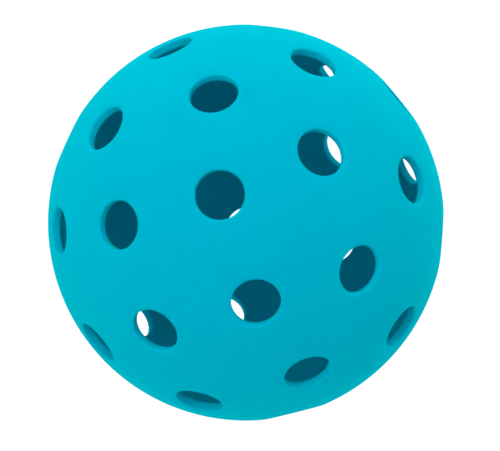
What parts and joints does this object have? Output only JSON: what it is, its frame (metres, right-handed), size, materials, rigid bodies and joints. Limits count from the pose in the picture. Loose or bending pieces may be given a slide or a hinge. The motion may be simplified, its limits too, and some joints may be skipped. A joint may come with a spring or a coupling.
{
  "type": "pickleball ball",
  "caption": "Hollow moulded plastic ball pierced all over by round holes with rounded edges, made of two half shells welded at the equator.",
  "frame": {"origin": "centre of the ball", "axes": "+Z is the moulding axis, through the two poles; the weld lies in the plane z = 0; +X points through a hole of the ring next to the weld in the upper shell"},
  "size_m": [0.074, 0.074, 0.074],
  "materials": {
    "shell": "satin moulded polyethylene, teal",
    "weld": "melted and re-set polyethylene, teal"
  },
  "bodies": {
    "root": {"upper_shell": "shell", "lower_shell": "shell", "weld_band": "weld"}
  },
  "joints": []
}
